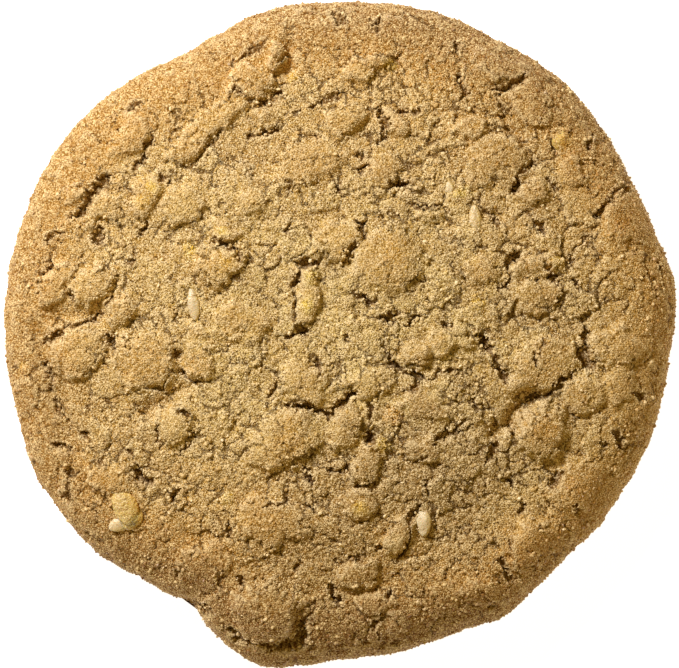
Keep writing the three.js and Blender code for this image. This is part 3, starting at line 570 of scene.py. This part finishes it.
def relief(u, v, x, y, down):
    """Height of the crumb above the smooth form, and the shares that colour it."""
    crumb, seam, piece, own = crumb_pattern(u, v)
    own_x, own_y = own - 0.5, second_number(own) - 0.5
    torn_x = x + SMALL_TEAR * own_x + LARGE_TEAR * (piece - 0.5)
    torn_y = y + SMALL_TEAR * own_y + LARGE_TEAR * (second_number(piece) - 0.5)
    over_rim = 1 - RELIEF_LOST * smoothstep(down, 0, RELIEF_LOST_BY)
    rise, crown = lump_rise(torn_x, torn_y)
    lump = rise * over_rim
    trough = trough_depth(torn_x, torn_y) * over_rim
    crack, opened = crack_depth(x + CRACK_TEAR * own_x, y + CRACK_TEAR * own_y)
    rough = (1 - SMOOTH_LUMP * smoothstep(crown, 0.1, 0.6)) * (1 - SMOOTH_RIM * smoothstep(down, -3.5, 2))
    seam = seam - SEAM_CLOSING * (1 - rough)
    swell = layered(0, u, v, SWELL_LAYERS)
    grain = layered(0, u, v, GRAIN_LAYERS) + layered(0, u, v, SIDE_LAYERS) * smoothstep(down, 1, 4)
    fleck, tone = fleck_share(x, y)
    height = lump - trough - crack + swell + grain + FLECK_RISE * fleck
    height = height + rough * crumb - SEAM_DEPTH * smoothstep(seam, -0.1, 0.06)
    shares = {
        "crack": opened, "seam": seam, "rough": rough, "piece": piece, "fleck": fleck, "tone": tone,
        "tint_and_painted_light": tint_and_painted_light_share(x, y), "crown": crown * over_rim,
    }
    return height, shares


def triangular(rows, columns, spacing):
    """A lattice of even triangles: the row, column, u and v of each place."""
    row, column = np.mgrid[-rows:rows + 1, -columns:columns + 1]
    row, column = row.ravel(), column.ravel()
    return row, column, (column + row / 2) * spacing, row * spacing * ROW_STEP


def lattice(form):
    """Places on the unrolled disc: closest in the cracks, wider on the top and wider again down the side."""
    reach = MEAN_RADIUS + SWELL_ROOM - RIM_ROUND + form.length()
    rows = int(reach / (FINE_SPACING * ROW_STEP)) // 4 * 4
    columns = int(reach / FINE_SPACING) // 4 * 4 + rows // 2
    row, column, u, v = triangular(rows, columns, FINE_SPACING)
    down = np.hypot(u, v) - plain_edge(np.arctan2(v, u)) + RIM_ROUND
    inside = np.flatnonzero(down < form.length() - FOOT_GAP)
    row, column, u, v, down = (values[inside] for values in (row, column, u, v, down))
    on_top = (row % 2 == 0) & (column % 2 == 0)
    on_side = (row % 4 == 0) & (column % 4 == 0)
    coarse = np.where(down < SIDE_STARTS, on_top, on_side)
    fine = np.flatnonzero(~coarse & (down < CRACKS_END))
    points, _, _ = form.place(u[fine], v[fine])
    _, opened = crack_depth(points[:, 0], points[:, 1], CRACK_MARGIN)
    kept = np.concatenate([np.flatnonzero(coarse), fine[opened > 0.05]])
    spacing = np.where(on_side[kept] & (down[kept] > SIDE_STARTS), 4 * FINE_SPACING, FINE_SPACING)
    rng = np.random.default_rng(SEED)
    u = u[kept] + rng.uniform(-JITTER, JITTER, len(kept)) * spacing
    v = v[kept] + rng.uniform(-JITTER, JITTER, len(kept)) * spacing
    return u, v


def join(ring_count, u, v):
    """Triangles between places whose first ring_count ones go round the outside."""
    places = [Vector(place) for place in zip(u.tolist(), v.tolist())]
    return np.array(delaunay_2d_cdt(places, [], [list(range(ring_count))], 1, 1e-7, False)[2])


def facing(points, faces):
    """Outward direction at each point of a mesh, and the area round it."""
    a, b, c = points[faces.T]
    across = np.cross(b - a, c - a)
    total = np.zeros(points.shape)
    for corner in range(3):
        np.add.at(total, faces[:, corner], across)
    size = np.linalg.norm(total, axis=1)
    return total / np.maximum(size, 1e-12)[:, None], size


def evened(values, faces, rounds):
    """Values of a mesh's points averaged with their neighbours, again and again."""
    count = np.bincount(faces.ravel(), minlength=len(values)) * 2
    for _ in range(rounds):
        total = np.zeros(len(values))
        for corner in range(3):
            others = values[faces[:, corner - 1]] + values[faces[:, corner - 2]]
            total += np.bincount(faces[:, corner], weights=others, minlength=len(values))
        values = 0.5 * values + 0.5 * total / count
    return values


def add_mesh(name, points, faces, shares, material, smooth=True):
    mesh = bpy.data.meshes.new(name)
    mesh.from_pydata(points.tolist(), [], faces.tolist())
    for title, values in shares.items():
        mesh.attributes.new(title, "FLOAT", "POINT").data.foreach_set("value", values.astype(np.float32))
    mesh.polygons.foreach_set("use_smooth", np.full(len(faces), smooth))
    mesh.materials.append(material)
    made = bpy.data.objects.new(name, mesh)
    bpy.context.scene.collection.objects.link(made)
    return made


def under_places():
    """Places on the underside, inside the foot."""
    _, _, u, v = triangular(UNDER_ROWS, UNDER_COLUMNS, UNDER_SPACING)
    inside = np.hypot(u, v) < plain_edge(np.arctan2(v, u)) - FOOT_INSET - UNDER_GAP
    return u[inside], v[inside]


def make_biscuit(form, material):
    """The biscuit, and its surface: points, outward directions, areas and shares."""
    turn = np.linspace(0, 2 * np.pi, FOOT_POINTS, endpoint=False)
    foot = plain_edge(turn) - RIM_ROUND + form.length()
    u, v = lattice(form)
    u, v = np.concatenate([foot * np.cos(turn), u]), np.concatenate([foot * np.sin(turn), v])
    points, normals, down = form.place(u, v)
    height, shares = relief(u, v, points[:, 0], points[:, 1], down)
    height *= smoothstep(form.length() - down, 0, FOOT_FADE)
    points = points + normals * height[:, None]
    faces = join(FOOT_POINTS, u, v)
    # Height above the widely evened surface: hollows below it get painted shade, raised parts turn golden
    shares["proud"] = height - evened(height, faces, PROUD_ROUNDS)
    # Crests that stand above their near neighbours, which get a painted highlight
    shares["crest"] = height - evened(height, faces, CREST_ROUNDS)
    toward_rim = INNER_BROWN * smoothstep(down, -20, -4) + OUTER_BROWN * smoothstep(down, -4, 5)
    # Browning of the rim round the biscuit: partly the baked colour, partly painted shade and painted light
    shares["rim"] = toward_rim * swelled(1, np.arctan2(v, u), RIM_BROWNING_AND_PAINTED_LIGHT)
    shares["under"] = smoothstep(down, UNDER_STARTS, form.length())

    # The underside: flat, with its own coarser places inside the same foot ring
    inner_u, inner_v = under_places()
    under_u = np.concatenate([points[:FOOT_POINTS, 0], inner_u])
    under_v = np.concatenate([points[:FOOT_POINTS, 1], inner_v])
    under = join(FOOT_POINTS, under_u, under_v)[:, ::-1]
    under = np.where(under < FOOT_POINTS, under, under - FOOT_POINTS + len(points))
    pits = UNDER_PITS * smoothstep(noise(inner_u, inner_v, 2.2, 51), 0.1, 0.8)
    every = np.concatenate([points, np.stack([inner_u, inner_v, pits], 1)])
    every_face = np.concatenate([faces, under])
    for title, values in shares.items():
        below = {"rim": 1.0, "under": 1.0, "seam": -1.0}.get(title, 0.0)
        shares[title] = np.concatenate([values, np.full(len(inner_u), below)])
    made = add_mesh("biscuit", form.to_frame(every), every_face, shares, material)
    return made, (every, *facing(every, every_face), shares)


def turned(rng, count):
    """Random turns in space, as matrices."""
    q = rng.normal(size=(count, 4))
    w, x, y, z = (q / np.linalg.norm(q, axis=1, keepdims=True)).T
    return np.stack([
        np.stack([1 - 2 * (y * y + z * z), 2 * (x * y - z * w), 2 * (x * z + y * w)], 1),
        np.stack([2 * (x * y + z * w), 1 - 2 * (x * x + z * z), 2 * (y * z - x * w)], 1),
        np.stack([2 * (x * z - y * w), 2 * (y * z + x * w), 1 - 2 * (x * x + y * y)], 1)], 1)


def ball(subdivisions):
    """Points and triangles of a round ball of radius 1."""
    made = bmesh.new()
    bmesh.ops.create_icosphere(made, subdivisions=subdivisions, radius=1)
    points = np.array([p.co for p in made.verts])
    faces = np.array([[p.index for p in f.verts] for f in made.faces])
    made.free()
    return points, faces


def strew(name, form, surface, rng, shapes, faces, spots, sunk, material):
    """One mesh of many small pieces with sharp sides, each turned at random and bedded at its own spot."""
    points, normals, _, shares = surface
    count, corners = shapes.shape[:2]
    shapes = np.einsum("nij,nkj->nki", turned(rng, count), shapes)
    middles = points[spots] - normals[spots] * sunk[:, None]
    all_points = (middles[:, None] + shapes).reshape(-1, 3)
    all_points[:, 2] = np.maximum(all_points[:, 2], LEAST_HEIGHT)
    all_faces = (faces[None] + corners * np.arange(count)[:, None, None]).reshape(-1, 3)
    spread = {
        title: np.repeat(values[spots], corners)
        for title, values in shares.items() if title not in ("crack", "seam")
    }
    spread["own"] = np.repeat(np.random.default_rng(SEED).uniform(0, 1, count), corners)
    return add_mesh(name, form.to_frame(all_points), all_faces, spread, material, smooth=False)


def make_grains(name, form, surface, sizes, seed, material):
    """Sugar and crumb grains: tiny many-sided bits half bedded in the surface."""
    points, _, area, shares = surface
    rng = np.random.default_rng(seed)
    weight = area * (points[:, 2] > LOWEST_GRAIN) * (1 - 0.85 * shares["crack"]) * (1 - 0.5 * shares["under"])
    weight *= shares["seam"] < -0.06
    spots = rng.choice(len(points), GRAIN_COUNT, replace=False, p=weight / weight.sum())
    size = rng.uniform(*sizes, GRAIN_COUNT) / 2
    corners = np.concatenate([np.eye(3), -np.eye(3)])
    sides = np.array([[0, 1, 2], [1, 3, 2], [3, 4, 2], [4, 0, 2], [1, 0, 5], [3, 1, 5], [4, 3, 5], [0, 4, 5]])
    stretch = rng.uniform(*UNEVEN, (GRAIN_COUNT, 1, 3)) * size[:, None, None]
    return strew(name, form, surface, rng, corners * stretch, sides, spots, GRAIN_SUNK * size, material)


def make_bits(form, surface, material):
    """Torn bits of crumb, most of them between the lumps and along the gaps."""
    points, _, area, shares = surface
    rng = np.random.default_rng(SEED + 4)
    beside = np.exp(-((shares["seam"] + 0.15) / 0.1) ** 2) + (shares["crack"] > 0.02) * (shares["crack"] < 0.5)
    likely = 0.3 * shares["rough"] + beside + 0.25 * smoothstep(shares["rim"], 0.6, 0.9)
    weight = area * (points[:, 2] > LOWEST_BIT) * likely
    spots = rng.choice(len(points), BIT_COUNT, replace=False, p=weight / weight.sum())
    round_points, round_faces = ball(1)
    size = (BIT_SMALLEST + BIT_RANGE * rng.uniform(0, 1, BIT_COUNT) ** 2) / 2
    uneven = rng.uniform(*UNEVEN, (BIT_COUNT, len(round_points), 1))
    flattened = np.stack([np.ones(BIT_COUNT), rng.uniform(0.6, 1, BIT_COUNT), np.full(BIT_COUNT, 0.65)], 1)
    shapes = round_points * uneven * (size[:, None] * flattened)[:, None]
    return strew("torn_crumb", form, surface, rng, shapes, round_faces, spots, BIT_SUNK * size, material)


def make_chips(form, surface, material):
    """Slivers and chunks of nut, bedded in the top."""
    top = surface[0]
    round_points, round_faces = ball(4)
    points, faces, tones, sides = [], [], [], []
    ends, flank, up = round_points.T
    for number, (at_x, at_y, length, width, turn, tone, bare) in enumerate(CHIPS):
        lumpy = 1 + 0.14 * noise(1.3 * ends + number, flank + 2 * up, 0.7, 61)
        lumpy = lumpy + 0.05 * noise(3 * ends, 2 * flank + number, 0.35, 62)
        shape = round_points * lumpy[:, None] * np.array([length / 2, width / 2, CHIP_THICK * width])
        shape[:, 1:] *= (1.12 - 0.3 * ends ** 2)[:, None]
        cos, sin = math.cos(math.radians(turn)), math.sin(math.radians(turn))
        x = shape[:, 0] * cos - shape[:, 1] * sin + at_x
        y = shape[:, 0] * sin + shape[:, 1] * cos + at_y
        around = np.hypot(top[:, 0] - at_x, top[:, 1] - at_y) < CHIP_NEAR * width
        bed = np.median(top[around & (top[:, 2] > LOWEST_CHIP), 2])
        faces.append(round_faces + number * len(round_points))
        z = shape[:, 2] + bed + CHIP_LIFT * width * (bare - 0.5) - CHIP_SUNK
        points.append(np.stack([x, y, z], 1))
        tones.append(np.full(len(x), tone))
        # The flank on the right, away from the key light, which gets painted shade
        sides.append(-flank)
    shares = {"tone": np.concatenate(tones), "side": np.concatenate(sides)}
    every = form.to_frame(np.concatenate(points))
    return add_mesh("pecan_chips", every, np.concatenate(faces), shares, material)


def paint(red, green, blue):
    """A colour as seen on a screen, from 0 to 255, as the renderer's own."""
    parts = [c / 255 for c in (red, green, blue)]
    return tuple(((p + 0.055) / 1.055) ** 2.4 if p > 0.04 else p / 12.92 for p in parts) + (1,)


class Nodes:
    """Short names for building one material. Sizes are in millimetres."""

    def __init__(self, name):
        self.material = bpy.data.materials.new(name)
        self.material.use_nodes = True
        self.tree = self.material.node_tree
        self.shader = self.tree.nodes["Principled BSDF"]
        self.place = self.add("TexCoord").outputs["Object"]

    def add(self, kind):
        return self.tree.nodes.new("ShaderNode" + kind)

    def put(self, value, socket):
        if isinstance(value, bpy.types.NodeSocket):
            self.tree.links.new(value, socket)
        else:
            socket.default_value = value

    def share(self, name):
        made = self.add("Attribute")
        made.attribute_name = name
        return made.outputs["Fac"]

    def texture(self, kind, size):
        made = self.add(kind)
        self.put(self.place, made.inputs["Vector"])
        made.inputs["Scale"].default_value = 1 / (size * MM)
        return made

    def noise(self, size, detail=2.0):
        made = self.texture("TexNoise", size)
        made.inputs["Detail"].default_value = detail
        return made.outputs["Fac"]

    def cells(self, size):
        return self.texture("TexVoronoi", size).outputs

    def red(self, colour):
        made = self.add("SeparateColor")
        self.put(colour, made.inputs["Color"])
        return made.outputs["Red"]

    def span(self, value, low, high, to_low=0.0, to_high=1.0):
        made = self.add("MapRange")
        self.put(value, made.inputs["Value"])
        for title, number in zip(("From Min", "From Max", "To Min", "To Max"), (low, high, to_low, to_high)):
            made.inputs[title].default_value = number
        return made.outputs["Result"]

    def unevenness(self, size, low, high):
        """Noise that runs from low to high."""
        return self.span(self.noise(size), 0.3, 0.7, low, high)

    def math(self, kind, first, second):
        made = self.add("Math")
        made.operation = kind
        self.put(first, made.inputs[0])
        self.put(second, made.inputs[1])
        return made.outputs["Value"]

    def plus(self, first, second):
        return self.math("ADD", first, second)

    def times(self, first, second):
        return self.math("MULTIPLY", first, second)

    def mix(self, share, first, second):
        made = self.add("Mix")
        made.data_type = "RGBA"
        self.put(share, made.inputs[0])
        self.put(first, made.inputs[6])
        self.put(second, made.inputs[7])
        return made.outputs[2]

    def bump(self, height):
        made = self.add("Bump")
        made.inputs["Strength"].default_value = 1.0
        made.inputs["Distance"].default_value = MM
        self.put(height, made.inputs["Height"])
        self.put(made.outputs["Normal"], self.shader.inputs["Normal"])

    def surface(self, colour, values):
        self.put(colour, self.shader.inputs["Base Color"])
        for title, value in values.items():
            self.shader.inputs[title].default_value = value


TAN = paint(207, 170, 87)
PALE = paint(232, 201, 117)
GOLD = paint(208, 160, 70)
YELLOW = paint(209, 168, 66)
# Painted shade for the hollows and the duller patches
HOLLOW_SHADE = paint(147, 110, 44)
RIM_BROWN = paint(196, 137, 42)
DARK = paint(109, 73, 19)
# Darkest brown of the outer rim: partly baked colour, partly painted shade, strongest toward the bottom
BAKED_AND_SHADED = paint(142, 92, 30)
SHADE = paint(132, 96, 36)
CRACK_SHADE = paint(100, 63, 13)
# The palest sugar tone, also used as the painted highlight on crests
LIGHT = paint(252, 228, 175)
TOASTED = paint(251, 223, 159)
SEAM_SHADE = paint(84, 47, 2)
GREY = paint(155, 123, 62)
UNDER = paint(176, 122, 60)
FLECK_CREAM = paint(236, 214, 150)
FLECK_YELLOW = paint(240, 206, 52)
FLECK_ORANGE = paint(230, 158, 44)
CHIP_CREAM = paint(234, 213, 168)
CHIP_YELLOW = paint(233, 199, 112)
CHIP_ORANGE = paint(234, 170, 60)
CHIP_SHADE = paint(186, 142, 76)


def dough_colour(n):
    """The dough's colour from its shares: tan crumb, golden lumps, brown rim, nut flecks, painted shade in hollows,
    painted highlights on crests, patches partly of painted light and shade.
    """
    mottle = n.plus(n.noise(2.2), n.span(n.share("piece"), 0, 1, -0.2, 0.2))
    base = n.mix(n.span(mottle, 0.36, 0.64), TAN, PALE)
    golden = n.plus(n.share("crown"), n.unevenness(2.2, -0.5, 0.4))
    golden = n.plus(golden, n.span(n.share("proud"), 0, 0.3, 0, 0.3))
    nut = n.mix(n.share("tone"), FLECK_YELLOW, FLECK_ORANGE)
    nut = n.mix(n.span(n.share("tone"), 0, -1), nut, FLECK_CREAM)
    # Layers: the value they follow, where they start and end, how far they cover, colour
    for value, low, high, most, colour in (
            (n.noise(7.0), 0.42, 0.68, 0.6, YELLOW),
            (n.noise(2.4), 0.46, 0.3, 0.6, GREY),
            # Painted shade in the hollows
            (n.share("proud"), -0.03, -0.35, 0.7, HOLLOW_SHADE),
            (golden, 0.1, 1.0, 0.75, GOLD),
            # Paler patches: partly the dough's own tone, partly painted light
            (n.share("tint_and_painted_light"), 0, 1, 0.8, PALE),
            # The rim's brown and its darkest brown: partly baked colour, partly painted shade and painted light
            (n.share("rim"), 0.05, 0.8, 0.9, RIM_BROWN),
            # Duller patches: partly the dough's own tone, partly painted shade
            (n.share("tint_and_painted_light"), 0, -1, 0.6, HOLLOW_SHADE),
            (n.share("rim"), 0.7, 1.5, 0.9, BAKED_AND_SHADED),
            (n.share("fleck"), 0, 1, 0.8, nut),
            # Painted highlight on the crests
            (n.share("crest"), 0, 0.09, 0.5, LIGHT),
            (n.share("under"), 0.2, 1, 1, UNDER)):
        base = n.mix(n.span(value, low, high, 0, most), base, colour)
    return base


def sugar_colour(n):
    """The lightest tone, which is more toasted on the rim."""
    return n.mix(n.span(n.share("rim"), 0.25, 0.9), LIGHT, TOASTED)


def torn_share(n, least):
    """How strongly the grain shows: fully where the crumb is torn."""
    return n.span(n.share("rough"), 0.35, 0.95, least, 1)


def dough_material():
    n = Nodes("baked_dough")
    crack = n.share("crack")
    torn, light = torn_share(n, 0.75), sugar_colour(n)
    # Painted shade in the cracks
    base = n.mix(n.times(crack, 0.9), dough_colour(n), CRACK_SHADE)
    fine = n.noise(0.12, 1)
    base = n.mix(n.times(torn, n.span(fine, 0.48, 0.36)), base, DARK)
    # Fewer pale specks in the cracks, which adds to their painted shade
    lit = n.times(torn, n.span(crack, 0, 1, 1, 0.35))
    base = n.mix(n.times(lit, n.span(fine, 0.52, 0.64)), base, light)
    grain = n.cells(0.17)
    tone = n.red(grain["Color"])
    base = n.mix(n.span(tone, 0, 0.4, 0.35, 0), base, DARK)
    base = n.mix(n.span(tone, 0.6, 1, 0, 0.4), base, light)
    seam = n.span(n.plus(n.share("seam"), n.unevenness(0.2, -0.1, 0.1)), -0.02, 0.05)
    # Painted shade along the seams between clumps
    base = n.mix(n.times(seam, 0.6), base, SEAM_SHADE)
    n.surface(base, {"Roughness": 0.8, "Specular IOR Level": 0.15})
    height = n.plus(n.span(grain["Distance"], 0, 0.8, 0.06, 0), n.unevenness(0.4, 0, 0.05))
    n.bump(n.plus(height, n.span(seam, 0, 1, 0.1, 0)))
    return n.material


def grain_material():
    n = Nodes("crumb_grain")
    own = n.share("own")
    torn = torn_share(n, 0.8)
    base = n.mix(n.times(torn, n.span(own, 0, 0.4, 0.65, 0)), dough_colour(n), SHADE)
    base = n.mix(n.times(torn, n.span(own, 0.35, 1, 0.05, 0.95)), base, sugar_colour(n))
    n.surface(base, {"Roughness": 0.45, "Specular IOR Level": 0.4})
    return n.material


def chip_material():
    n = Nodes("pecan_chips")
    # Painted shade: the chip's flank away from the light turns yellower and darker
    tone = n.plus(n.share("tone"), n.span(n.share("side"), 0.1, 0.9, 0, 0.6))
    tone = n.plus(tone, n.unevenness(0.5, -0.2, 0.2))
    base = n.mix(n.span(tone, 0, 1), CHIP_CREAM, CHIP_YELLOW)
    base = n.mix(n.span(tone, 1, 2), base, CHIP_ORANGE)
    granular = n.span(n.share("tone"), 0.1, 0.5, 0.4, 1)
    base = n.mix(n.times(granular, n.span(n.noise(0.16, 1), 0.55, 0.3, 0, 0.7)), base, CHIP_SHADE)
    n.surface(base, {
        "Roughness": 0.4, "Subsurface Weight": 0.4, "Subsurface Radius": (1.0, 0.8, 0.5),
        "Subsurface Scale": 0.4 * MM,
    })
    n.bump(n.times(granular, n.unevenness(0.25, 0, 0.09)))
    return n.material


def add_key_light():
    light = bpy.data.lights.new("key", "AREA")
    light.shape = "DISK"
    light.size = KEY_SIZE
    light.energy = KEY_POWER
    light.color = KEY_COLOUR
    made = bpy.data.objects.new("key", light)
    a, e = math.radians(KEY_AZIMUTH), math.radians(KEY_ELEVATION)
    made.location = KEY_DISTANCE * Vector((math.cos(a) * math.cos(e), math.sin(a) * math.cos(e), math.sin(e)))
    made.rotation_euler = (-made.location).to_track_quat("-Z", "Y").to_euler()
    made.visible_camera = False
    bpy.context.scene.collection.objects.link(made)


def make_stage():
    mesh = bpy.data.meshes.new("floor")
    corners = [(FLOOR_REACH * x, FLOOR_REACH * y, 0) for x, y in ((-1, -1), (1, -1), (1, 1), (-1, 1))]
    mesh.from_pydata(corners, [], [(0, 1, 2, 3)])
    n = Nodes("floor")
    n.surface(FLOOR_COLOUR, {"Roughness": 0.9, "Emission Color": (1, 1, 1, 1), "Emission Strength": FLOOR_GLOW})
    mesh.materials.append(n.material)
    floor = bpy.data.objects.new("floor", mesh)
    floor.location.z = -FLOOR_DROP
    bpy.context.scene.collection.objects.link(floor)


def make_light_and_camera(form):
    scene = bpy.context.scene
    scene.view_settings.view_transform = "Standard"
    world = bpy.data.worlds.new("studio")
    world.use_nodes = True
    sky = world.node_tree.nodes["Background"].inputs
    sky["Color"].default_value, sky["Strength"].default_value = WORLD_COLOUR, WORLD_STRENGTH
    scene.world = world
    add_key_light()
    camera = bpy.data.objects.new("camera", bpy.data.cameras.new("camera"))
    camera.data.lens, camera.data.sensor_width = LENS, SENSOR
    picture_width = PICTURE_SHARE * (cad_high.x - cad_low.x) / BOX_SHARE
    distance = picture_width * LENS / SENSOR
    camera.location = (0, 0, form.edge_height * MM + distance)
    camera.data.clip_start, camera.data.clip_end = 0.01, 20
    scene.collection.objects.link(camera)
    scene.camera = camera


def main():
    form = Form()
    dough = dough_material()
    grain = grain_material()
    biscuit, surface = make_biscuit(form, dough)
    coarse = make_grains("crumb_grain", form, surface, CRUMB_SIZES, SEED + 1, grain)
    fine = make_grains("sugar_grain", form, surface, SUGAR_SIZES, SEED + 2, grain)
    crumbs = make_bits(form, surface, grain)
    chips = make_chips(form, surface, chip_material())
    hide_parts(NODE)
    for piece in (biscuit, coarse, fine, crumbs):
        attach(piece, "root")
    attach(chips, "root")
    make_stage()
    make_light_and_camera(form)


main()
